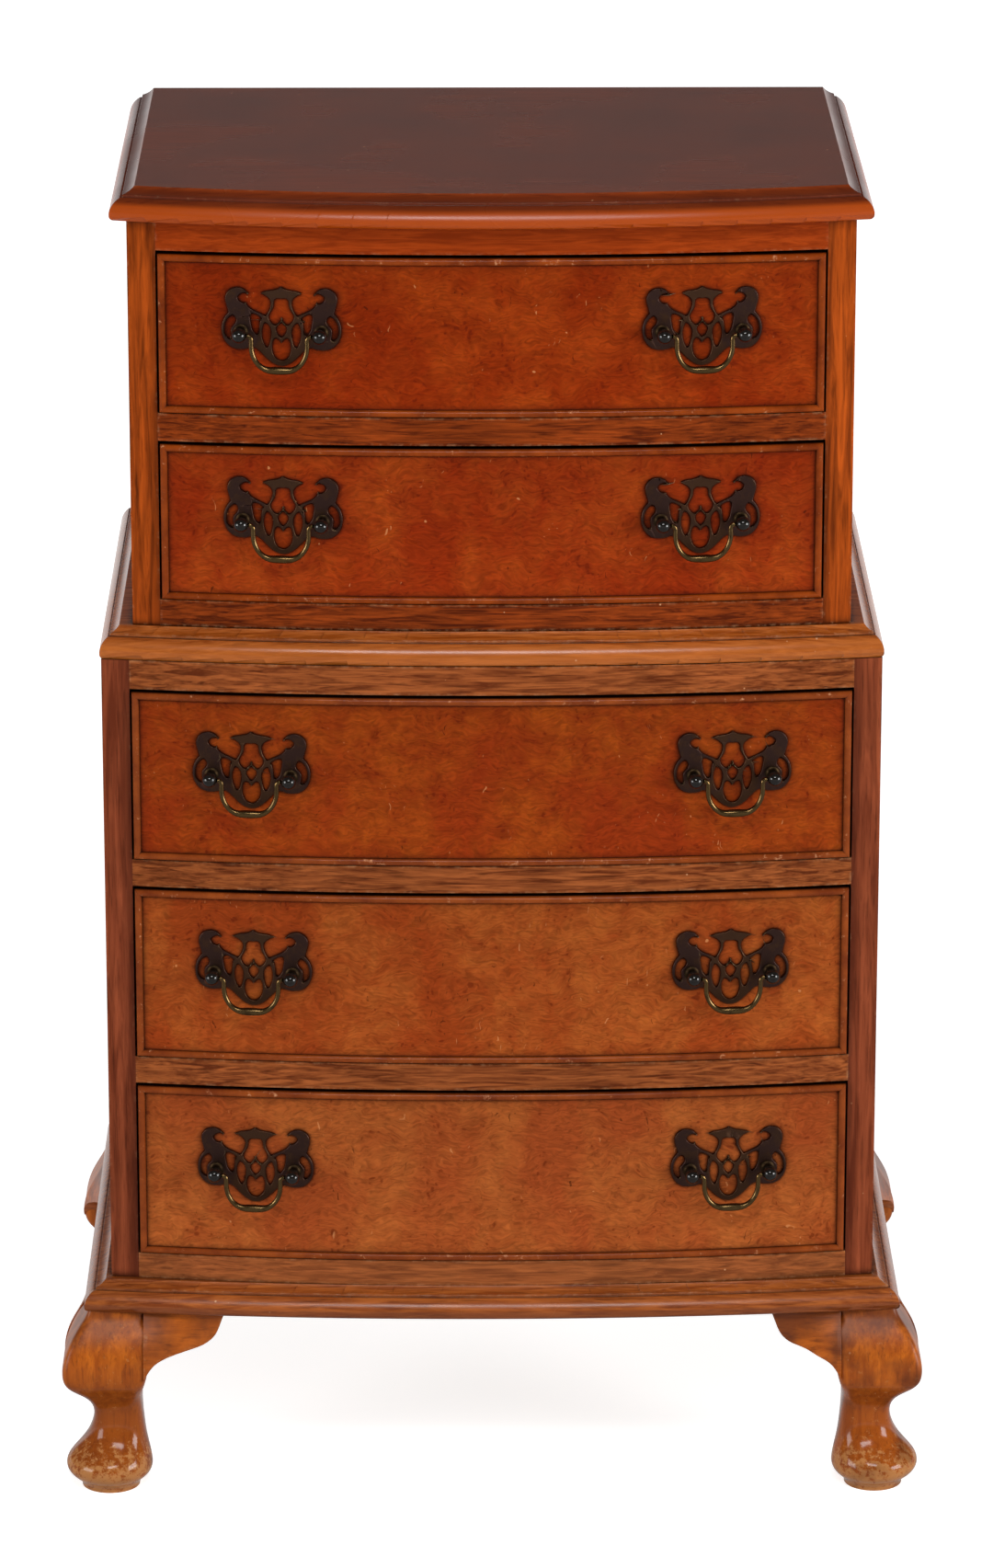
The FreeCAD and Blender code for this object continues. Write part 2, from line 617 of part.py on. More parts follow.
def drawer(name, bow, half, span, handle_x):
    wide = half - SIDE - SIDE_GAP
    z0 = span[0] + BOTTOM_GAP
    z1 = span[1] - TOP_GAP
    y_in = bow.y(wide) + FRONT_END
    rear = BACK - BACK_PANEL - BACK_ROOM
    core = bow.slab(-wide, wide, y_in, z0, z1, BEAD_SEAT)
    field = bow.slab(-wide + BEAD, wide - BEAD, y_in, z0 + BEAD, z1 - BEAD)
    front = core.fuse(field).removeSplitter()
    beads = bead_strips(bow, wide, z0, z1, front)

    low = span[0] + RUN_GAP
    high = z1 - 4.0
    floor = low + GROOVE_UP
    lap = tails(wide, y_in, low, high)
    side = box(-wide, -wide + LINING, y_in, rear, low, high).fuse(lap).removeSplitter()
    side = side.cut(box(-wide + LINING - GROOVE, -wide + LINING, y_in - DOVETAIL_LAP, rear, floor,
                        floor + DRAWER_BOTTOM))
    panel = box(-wide + LINING - GROOVE, wide - LINING + GROOVE, y_in - GROOVE, rear, floor,
                floor + DRAWER_BOTTOM)
    for tail in lap:
        front = front.cut([tail, mirrored(tail)])
    front = front.cut(panel)
    tail_back = box(-wide + LINING, wide - LINING, rear - LINING, rear, floor + DRAWER_BOTTOM, high)
    save(name + "_box", side.Solids[0], mirrored(side.Solids[0]), tail_back)
    save(name + "_bottom", panel)
    save(name + "_beads", *beads)

    z = (span[0] + span[1]) / 2 + HANDLE_UP
    plates = []
    posts = []
    for side_name, s in (("left", -1), ("right", 1)):
        x = s * handle_x
        tilt = math.degrees(math.asin(x / bow.radius))
        place = FreeCAD.Placement(V(x, bow.y(x), z), FreeCAD.Rotation(V(0, 0, 1), tilt))

        def placed(shape):
            copy = shape.copy()
            copy.Placement = place.multiply(copy.Placement)
            return copy

        plates.append(placed(PLATE_SHAPE))
        lean = math.radians(tilt)
        for u in (-BORING / 2, BORING / 2):
            near = y_in - bow.y(x) - u * math.sin(lean)
            depth = near / math.cos(lean) - SPOT
            shank = Part.makeCylinder(SHANK + SHANK_FIT, 80, V(u, -20, 0), V(0, 1, 0))
            spot = Part.makeCylinder(NUT + 1.5, 20, V(u, depth, 0), V(0, 1, 0))
            front = front.cut([placed(shank), placed(spot)])
            posts.append(placed(post(u, depth)))
            posts.append(placed(nut(u, depth)))
        save(name + "_bail_" + side_name, placed(BAIL_SHAPE))
    save(name + "_plates", *plates)
    save(name + "_posts", *posts)
    save(name + "_front", front.Solids[0])


for i, span in enumerate(reversed(upper_spans)):
    drawer("drawer_upper_%d" % (i + 1), UPPER_FRONT, UPPER_HALF, span, UPPER_HALF - UPPER_HANDLE_IN)
for i, span in enumerate(reversed(lower_spans)):
    drawer("drawer_lower_%d" % (i + 1), LOWER_FRONT, LOWER_HALF, span, LOWER_HALF - LOWER_HANDLE_IN)
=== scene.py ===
import json
import math

import bmesh
import bpy
import numpy as np
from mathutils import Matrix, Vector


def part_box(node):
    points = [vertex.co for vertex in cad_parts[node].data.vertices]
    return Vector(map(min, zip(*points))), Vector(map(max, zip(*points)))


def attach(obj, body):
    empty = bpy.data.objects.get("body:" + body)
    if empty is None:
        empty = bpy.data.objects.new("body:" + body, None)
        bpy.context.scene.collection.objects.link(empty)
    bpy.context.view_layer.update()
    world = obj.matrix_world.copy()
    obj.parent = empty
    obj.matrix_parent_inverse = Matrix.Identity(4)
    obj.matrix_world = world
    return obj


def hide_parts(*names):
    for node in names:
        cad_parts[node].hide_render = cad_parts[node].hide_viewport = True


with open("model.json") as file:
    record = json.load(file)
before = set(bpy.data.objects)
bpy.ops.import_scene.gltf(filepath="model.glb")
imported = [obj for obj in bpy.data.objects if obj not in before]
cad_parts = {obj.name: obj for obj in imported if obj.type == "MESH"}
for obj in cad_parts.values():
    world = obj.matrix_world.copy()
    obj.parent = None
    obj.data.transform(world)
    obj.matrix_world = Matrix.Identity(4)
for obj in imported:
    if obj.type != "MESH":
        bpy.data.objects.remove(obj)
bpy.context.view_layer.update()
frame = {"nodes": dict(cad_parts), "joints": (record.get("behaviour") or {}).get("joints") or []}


# Cabriole legs and knee brackets: solid walnut, bandsawn and rasped round, each leg pegged up into the base
# frame, with sawn ears glued beside its knee. Thick honey polish with painted shade under the base
# moulding, darker from the knee to the ankle by the ankle's darker polish and painted shade under the
# knee, and scuffed at the foot.

def linear(code):
    """Linear RGBA of an sRGB hex colour."""
    srgb = np.array([int(code[i:i + 2], 16) for i in (1, 3, 5)]) / 255
    return (*np.where(srgb <= 0.04045, srgb / 12.92, ((srgb + 0.055) / 1.055) ** 2.4), 1.0)


def add(tree, kind, sockets=(), **settings):
    """Adds a shader node with its settings. A socket given a node or an output is linked, else it is set."""
    node = tree.nodes.new("ShaderNode" + kind)
    for name, value in settings.items():
        setattr(node, name, value)
    for name, value in dict(sockets).items():
        if isinstance(value, bpy.types.Node):
            value = value.outputs[0]
        if isinstance(value, bpy.types.NodeSocket):
            tree.links.new(value, node.inputs[name])
        else:
            node.inputs[name].default_value = value
    return node


def polished_walnut(name, grain, pale, deep, bare, figure_mm, worn, grime_and_shade, roughness, specular):
    """Walnut under old French polish, its grain along one axis: soft bands of figure, streaks and pores drawn
    out sixteen times along the grain, slow fading, dirt and painted shade in the corners, bare wood on rubbed
    arrises and in clusters of nicks. Its arrises look eased by 0.6 mm."""
    material = bpy.data.materials.new(name)
    material.use_nodes = True
    tree = material.node_tree
    shader = tree.nodes["Principled BSDF"]
    place = add(tree, "TexCoord").outputs["Object"]
    drawn = [1 / 16 if axis == grain else 1.0 for axis in "xyz"]
    along = add(tree, "Mapping", {"Vector": place, "Scale": drawn})
    bands = add(tree, "TexNoise", {"Vector": along, "Scale": 1000 / figure_mm, "Detail": 4.0,
                                   "Roughness": 0.6, "Distortion": 0.9})
    figure = add(tree, "MapRange", {"Value": bands, "From Min": 0.36, "From Max": 0.64})
    wood = add(tree, "MixRGB", {"Fac": figure, "Color1": linear(pale), "Color2": linear(deep)})
    # Real pores are a tenth of a millimetre wide; they are drawn four times as wide so that they show
    streaks = add(tree, "TexNoise", {"Vector": along, "Scale": 1000 / 1.6, "Detail": 3.0, "Roughness": 0.65})
    pores = add(tree, "MapRange", {"Value": streaks, "From Min": 0.52, "From Max": 0.7, "To Max": 0.42})
    wood = add(tree, "MixRGB", {"Fac": pores, "Color1": wood, "Color2": linear("#3a1808")},
               blend_type="MULTIPLY")
    fading = add(tree, "TexNoise", {"Vector": place, "Scale": 1000 / 90, "Detail": 3.0})
    fade = add(tree, "MapRange", {"Value": fading, "From Min": 0.3, "From Max": 0.7, "To Min": 0.82,
                                  "To Max": 1.16})
    wood = add(tree, "MixRGB", {"Fac": 1.0, "Color1": wood, "Color2": fade}, blend_type="MULTIPLY")
    # Darker where the surface sits in a corner: dirt, and painted shade where shade falls there
    corners = add(tree, "AmbientOcclusion", {"Distance": 0.006}, samples=8).outputs["AO"]
    dirt_and_shade = add(tree, "MapRange", {"Value": corners, "From Min": 0.47, "From Max": 0.95, "To Min": grime_and_shade,
                                  "To Max": 0.0})
    wood = add(tree, "MixRGB", {"Fac": dirt_and_shade, "Color1": wood, "Color2": linear("#1d0b05")})
    arris = add(tree, "AmbientOcclusion", {"Distance": 0.002}, samples=4, inside=True,
                only_local=True).outputs["AO"]
    rubbed = add(tree, "MapRange", {"Value": arris, "From Min": 0.95, "From Max": 0.6, "To Max": 0.5})
    knocks = add(tree, "TexNoise", {"Vector": place, "Scale": 1000 / 5, "Detail": 6.0, "Roughness": 0.7})
    chips = add(tree, "MapRange", {"Value": knocks, "From Min": 0.66 - 0.2 * worn, "From Max": 0.72})
    wear = add(tree, "Math", {0: rubbed, 1: chips}, operation="MULTIPLY")
    dents = add(tree, "TexVoronoi", {"Vector": place, "Scale": 1000 / 9})
    lone = add(tree, "SeparateColor", {"Color": dents.outputs["Color"]}).outputs["Red"]
    size = add(tree, "MapRange", {"Value": lone, "From Min": 1.0 - 0.45 * worn, "From Max": 1.0,
                                  "To Max": 0.09})
    nick = add(tree, "Math", {0: dents.outputs["Distance"], 1: size}, operation="LESS_THAN")
    cluster = add(tree, "MapRange", {"Value": fading, "From Min": 0.44, "From Max": 0.58, "To Max": 0.8})
    nick = add(tree, "Math", {0: nick, 1: cluster}, operation="MULTIPLY")
    wear = add(tree, "Math", {0: wear, 1: nick}, operation="MAXIMUM")
    wood = add(tree, "MixRGB", {"Fac": wear, "Color1": wood, "Color2": linear(bare)})
    tree.links.new(wood.outputs[0], shader.inputs["Base Color"])
    dull = add(tree, "MapRange", {"Value": fading, "From Min": 0.3, "From Max": 0.7,
                                  "To Min": roughness - 0.03, "To Max": roughness + 0.05})
    tree.links.new(dull.outputs[0], shader.inputs["Roughness"])
    shader.inputs["Specular IOR Level"].default_value = specular
    eased = add(tree, "Bevel", {"Radius": 0.0006}, samples=4)
    tree.links.new(eased.outputs[0], shader.inputs["Normal"])
    return material


def dress(material, *nodes):
    """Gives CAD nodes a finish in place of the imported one."""
    for node in nodes:
        slots = frame["nodes"][node].data.materials
        slots.clear()
        slots.append(material)


def tint(material, start, full, colour, share, axis="Z"):
    """Turns a finish towards another colour along an axis: not at all at one place, by the given share at the
    other and beyond it. Across the piece, both halves are alike."""
    tree = material.node_tree
    target = tree.nodes["Principled BSDF"].inputs["Base Color"]
    wood = target.links[0].from_socket
    place = add(tree, "SeparateXYZ", {0: add(tree, "TexCoord").outputs["Object"]}).outputs[axis]
    if axis == "X":
        place = add(tree, "Math", {0: place}, operation="ABSOLUTE")
    amount = add(tree, "MapRange", {"Value": place, "From Min": start, "From Max": full, "To Max": share})
    wood = add(tree, "MixRGB", {"Fac": amount, "Color1": wood, "Color2": linear(colour)})
    tree.links.new(wood.outputs[0], target)


def scuffed_foot(material):
    """Feet kicked and mopped for a century: bare pale patches that grow towards the floor."""
    tree = material.node_tree
    target = tree.nodes["Principled BSDF"].inputs["Base Color"]
    wood = target.links[0].from_socket
    place = add(tree, "TexCoord").outputs["Object"]
    height = add(tree, "SeparateXYZ", {0: place}).outputs["Z"]
    knocks = add(tree, "TexNoise", {"Vector": place, "Scale": 1000 / 5, "Detail": 7.0, "Roughness": 0.8})
    low = add(tree, "MapRange", {"Value": height, "From Min": SCUFF_START, "From Max": SCUFF_FULL,
                                 "To Max": 0.2})
    bare = add(tree, "Math", {0: knocks, 1: low}, operation="ADD")
    bare = add(tree, "MapRange", {"Value": bare, "From Min": 0.6, "From Max": 0.68, "To Max": 0.8})
    wood = add(tree, "MixRGB", {"Fac": bare, "Color1": wood, "Color2": linear("#bc824c")})
    tree.links.new(wood.outputs[0], target)


def shade_under_moulding(material):
    """Painted shade under the base moulding, darkest at the top of the leg, clouded, and more of it on
    the right; and a knee rubbed duller than the ankle and the foot."""
    tree = material.node_tree
    shader = tree.nodes["Principled BSDF"]
    wood = shader.inputs["Base Color"].links[0].from_socket
    place = add(tree, "TexCoord").outputs["Object"]
    parts = add(tree, "SeparateXYZ", {0: place})
    height = parts.outputs["Z"]
    cloud = add(tree, "TexNoise", {"Vector": place, "Scale": 1000 / 26, "Detail": 4.0})
    right = add(tree, "MapRange", {"Value": parts.outputs["X"], "From Min": -LEG_SPREAD,
                                   "From Max": LEG_SPREAD, "To Min": -0.06, "To Max": 0.12})
    # Painted shade under the base moulding, growing upwards
    high = add(tree, "MapRange", {"Value": height, "From Min": PAINTED_SHADE_START, "From Max": PAINTED_SHADE_FULL,
                                  "To Max": 0.27})
    painted_shade = add(tree, "Math", {0: cloud, 1: high}, operation="ADD")
    painted_shade = add(tree, "Math", {0: painted_shade, 1: right}, operation="ADD")
    painted_shade = add(tree, "MapRange", {"Value": painted_shade, "From Min": 0.6, "From Max": 0.82, "To Max": 0.7})
    wood = add(tree, "MixRGB", {"Fac": painted_shade, "Color1": wood, "Color2": linear("#4f2412")})
    tree.links.new(wood.outputs[0], shader.inputs["Base Color"])
    dull = add(tree, "MapRange", {"Value": height, "From Min": DULL_START, "From Max": DULL_FULL,
                                  "To Min": 0.12, "To Max": 0.36})
    tree.links.new(dull.outputs[0], shader.inputs["Roughness"])


# Heights in metres at which each kind of mark starts and at which it is full, and how far out the knees stand
SCUFF_START, SCUFF_FULL, PAINTED_SHADE_START, PAINTED_SHADE_FULL = 0.04, 0.014, 0.09, 0.122
DULL_START, DULL_FULL, ANKLE_START, ANKLE_FULL, LEG_SPREAD = 0.062, 0.085, 0.098, 0.066, 0.28
leg_walnut = polished_walnut("leg_walnut_french_polished", "z", "#be6212", "#984606", "#d8a878",
                             figure_mm=8.0, worn=0.9, grime_and_shade=0.05, roughness=0.17, specular=0.25)
# Darker from the knee down to the ankle: the ankle's darker polish, and painted shade under the knee
tint(leg_walnut, start=ANKLE_START, full=ANKLE_FULL, colour="#7d3d1a", share=0.55)
scuffed_foot(leg_walnut)
shade_under_moulding(leg_walnut)
dress(leg_walnut, "leg_front_left", "leg_front_right", "leg_rear_left", "leg_rear_right")
bracket_walnut = polished_walnut("bracket_walnut_french_polished", "x", "#b65c14", "#8e420a", "#d0a070",
                                 figure_mm=8.0, worn=0.7, grime_and_shade=0.05, roughness=0.2, specular=0.28)
shade_under_moulding(bracket_walnut)
dress(bracket_walnut, "knee_brackets")


# Base frame: four walnut rails with a run cove and thumb moulding, mitred at the front corners, screwed up
# under the lower case. Dark polish, worn through to pale wood along the nose.

def merged_copy(node, name, weld):
    """A copy of a CAD node's loose triangles welded into one mesh, smooth but for its sharp edges. The node's
    own normals belong to its loose triangles, so the copy drops them."""
    work = bmesh.new()
    work.from_mesh(frame["nodes"][node].data)
    bmesh.ops.remove_doubles(work, verts=work.verts, dist=weld)
    mesh = bpy.data.meshes.new(name)
    work.to_mesh(mesh)
    work.free()
    for leftover in ("custom_normal", "sharp_edge", "sharp_face"):
        if leftover in mesh.attributes:
            mesh.attributes.remove(mesh.attributes[leftover])
    mesh.shade_smooth()
    mesh.set_sharp_from_angle(angle=SHARP_ANGLE)
    piece = bpy.data.objects.new(name, mesh)
    bpy.context.scene.collection.objects.link(piece)
    return piece


def moulded_piece(node, name, bow, reach, finish):
    """A moulded board from a copy of its CAD node, shaded by the true profile instead of the mesh's facets.
    Along the front the profile stands on the radius of the bow in plan, at the sides square to them. On each
    of its arcs the normal lies on the line through the arc's centre, on the side that the facet faces."""
    board = merged_copy(node, name, weld=0.00001)
    mesh = board.data
    points = np.empty(len(mesh.vertices) * 3)
    mesh.vertices.foreach_get("co", points)
    corners = np.empty(len(mesh.loops), dtype=int)
    mesh.loops.foreach_get("vertex_index", corners)
    points = points.reshape(-1, 3)[corners].reshape(-1, 3, 3)
    facing = np.empty(len(mesh.polygons) * 3)
    mesh.polygons.foreach_get("normal", facing)
    facing = facing.reshape(-1, 1, 3)
    low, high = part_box(node)
    thick = high[2] - low[2]
    radius = (high[0] ** 2 + bow ** 2) / (2 * bow)
    front = points - np.array((0.0, low[1] + radius, 0.0))
    front[..., 2] = 0.0
    away = np.linalg.norm(front, axis=-1, keepdims=True)
    front /= away
    side = np.sign(points) * np.array((1.0, 0.0, 0.0))
    at_side = np.abs(facing[..., :1]) > np.abs((facing * front).sum(axis=-1, keepdims=True))
    way = np.where(at_side, side, front)
    out = np.where(at_side, np.abs(points[..., :1]) - high[0], away - radius) + reach
    drop = high[2] - points[..., 2:]
    middle = drop.mean(axis=1, keepdims=True)
    upright = (facing * way).sum(axis=-1, keepdims=True) > UPRIGHT
    normals = np.where(upright, way, np.repeat(facing, 3, axis=1))
    for arc in MOULDING_ARCS:
        first, second, third = (complex(x * reach / MOULDING_WIDE, y * thick / MOULDING_TALL) for x, y in arc)
        # Centre of the circle through the three points, taken as complex numbers
        turn = (third - first) / (second - first)
        centre = first + (second - first) * (turn - abs(turn) ** 2) / (2j * turn.imag)
        spoke = (out - centre.real) * way - (drop - centre.imag) * np.array((0.0, 0.0, 1.0))
        spoke /= np.linalg.norm(spoke, axis=-1, keepdims=True)
        agree = (spoke * facing).sum(axis=-1, keepdims=True)
        on_arc = (middle > first.imag) & (middle < third.imag) & (np.abs(agree) > ON_ARC)
        normals = np.where(on_arc, spoke * np.sign(agree), normals)
    mesh.normals_split_custom_set(normals.reshape(-1, 3).tolist())
    mesh.materials.append(finish)
    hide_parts(node)
    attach(board, "carcass")


# Cove, thumb nose and lower round of the moulding, each by three points: outwards and down from its top arris
MOULDING_ARCS = (((0.0, 0.0), (3.1, 2.7), (7.5, 4.5)), ((9.0, 6.2), (13.0, 9.3), (15.8, 14.8)),
                 ((15.8, 16.2), (15.1, 18.6), (13.0, 20.0)))
MOULDING_WIDE, MOULDING_TALL = 15.8, 20.0
# A facet is upright, or on an arc, where the cosine between its normal and theirs is above these
UPRIGHT, ON_ARC = 0.99, 0.85
SHARP_ANGLE = math.radians(35)
base_walnut = polished_walnut("base_moulding_walnut", "x", "#a45824", "#7a3812", "#cfa078",
                              figure_mm=3.0, worn=0.8, grime_and_shade=0.7, roughness=0.25, specular=0.37)
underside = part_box("base_frame")[0][2]
# Painted shade on the lower round of the nose, which faces down
tint(base_walnut, start=underside + 0.0065, full=underside + 0.0045, colour="#5e2c16", share=0.5)
moulded_piece("base_frame", "moulded_base_frame", bow=0.0165, reach=0.014, finish=base_walnut)


# Lower case: two solid walnut sides with the grain upright, and walnut rails tenoned between them.
# Red-brown polish, matt from handling, the rails streaky with pale flecks.

lower_side_walnut = polished_walnut("lower_side_walnut", "z", "#94492b", "#652b16", "#b98a66",
                                    figure_mm=7.0, worn=0.5, grime_and_shade=0.9, roughness=0.32, specular=0.08)
inner_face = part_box("lower_side_right")[0][0]
tint(lower_side_walnut, start=inner_face + 0.008, full=inner_face + 0.001, colour="#44190c", share=0.6,
     axis="X")
dress(lower_side_walnut, "lower_side_left", "lower_side_right")
lower_rail_walnut = polished_walnut("lower_rail_walnut", "x", "#9d5529", "#5d280f", "#cf9c70",
                                    figure_mm=2.6, worn=0.9, grime_and_shade=0.9, roughness=0.32, specular=0.08)
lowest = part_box("lower_rails")[0][2]
tint(lower_rail_walnut, start=lowest + 0.12, full=lowest + 0.02, colour="#b06a3c", share=0.2)
dress(lower_rail_walnut, "lower_rails")


# Inside of the carcass: bottoms, runners, kickers and stops of plain pale softwood and backs of stained ply,
# planed and left bare, nailed and housed into the sides.

def planed_bare_wood(name, grain, pale, deep):
    """Wood planed and left unpolished: wide soft growth bands and fibres drawn out twenty times along the
    grain, dry and matt."""
    material = bpy.data.materials.new(name)
    material.use_nodes = True
    tree = material.node_tree
    shader = tree.nodes["Principled BSDF"]
    place = add(tree, "TexCoord").outputs["Object"]
    drawn = [1 / 20 if axis == grain else 1.0 for axis in "xyz"]
    along = add(tree, "Mapping", {"Vector": place, "Scale": drawn})
    bands = add(tree, "TexNoise", {"Vector": along, "Scale": 1000 / 7, "Detail": 4.0, "Distortion": 0.6})
    rings = add(tree, "MapRange", {"Value": bands, "From Min": 0.4, "From Max": 0.62})
    wood = add(tree, "MixRGB", {"Fac": rings, "Color1": linear(pale), "Color2": linear(deep)})
    fibres = add(tree, "TexNoise", {"Vector": along, "Scale": 1000 / 1.2, "Detail": 2.0})
    tone = add(tree, "MapRange", {"Value": fibres, "From Min": 0.3, "From Max": 0.7, "To Min": 0.85,
                                  "To Max": 1.1})
    wood = add(tree, "MixRGB", {"Fac": 1.0, "Color1": wood, "Color2": tone}, blend_type="MULTIPLY")
    tree.links.new(wood.outputs[0], shader.inputs["Base Color"])
    shader.inputs["Roughness"].default_value = 0.7
    shader.inputs["Specular IOR Level"].default_value = 0.2
    relief = add(tree, "Bump", {"Height": fibres, "Strength": 0.3, "Distance": 0.0002})
    tree.links.new(relief.outputs[0], shader.inputs["Normal"])
    return material


carcass_pine = planed_bare_wood("carcass_pine_planed", "x", "#b98d5c", "#94683a")
dress(carcass_pine, "lower_bottom", "upper_bottom", "lower_guides", "upper_guides")
back_ply = planed_bare_wood("back_board_stained_ply", "z", "#7b5231", "#5f3b20")
dress(back_ply, "lower_back", "upper_back")


# Waist board: a walnut board with a moulded front and sides that caps the lower case and carries the upper.
# Golden where the polish has worn thin on the nose.

waist_walnut = polished_walnut("waist_moulding_walnut", "x", "#b26026", "#883e0d", "#d8ac84",
                               figure_mm=3.0, worn=0.8, grime_and_shade=0.9, roughness=0.2, specular=0.38)
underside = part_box("waist_board")[0][2]
tint(waist_walnut, start=underside + 0.013, full=underside + 0.011, colour="#b06024", share=0.5)
moulded_piece("waist_board", "moulded_waist_board", bow=0.02, reach=0.0125, finish=waist_walnut)


# Upper case: walnut sides with the grain upright and rails tenoned between them, as in the lower case, but
# narrower, standing on the waist board. The polish has faded to a more orange brown.

upper_side_walnut = polished_walnut("upper_side_walnut", "z", "#ae4c13", "#702d08", "#d09c70",
                                    figure_mm=5.0, worn=0.6, grime_and_shade=0.9, roughness=0.32, specular=0.06)
inner_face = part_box("upper_side_right")[0][0]
tint(upper_side_walnut, start=inner_face + 0.006, full=inner_face + 0.001, colour="#4a1c08", share=0.4,
     axis="X")
dress(upper_side_walnut, "upper_side_left", "upper_side_right")
upper_rail_walnut = polished_walnut("upper_rail_walnut", "x", "#903d12", "#501c08", "#d09c70",
                                    figure_mm=2.6, worn=1.0, grime_and_shade=0.9, roughness=0.32, specular=0.06)
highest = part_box("upper_rails")[1][2]
tint(upper_rail_walnut, start=highest - 0.03, full=highest - 0.02, colour="#a83a06", share=0.4)
dress(upper_rail_walnut, "upper_rails")


# Top board: walnut with its grain from side to side and a moulded edge, screwed down on the upper case.
# Its polish is dark and even, and mirrors the room at a low angle.

top_walnut = polished_walnut("top_board_walnut", "x", "#88360b", "#782d08", "#d8ac80",
                             figure_mm=6.0, worn=0.6, grime_and_shade=0.8, roughness=0.25, specular=0.35)
underside, upper_face = (corner[2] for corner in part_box("top_board"))
# Painted shade in the cove and fillet below the upper face; under them the nose is tinted a paler orange
tint(top_walnut, start=upper_face - 0.0004, full=upper_face - 0.002, colour="#501802", share=0.5)
tint(top_walnut, start=underside + 0.012, full=underside + 0.0095, colour="#b04808", share=0.75)
moulded_piece("top_board", "moulded_top_board", bow=0.028, reach=0.0158, finish=top_walnut)
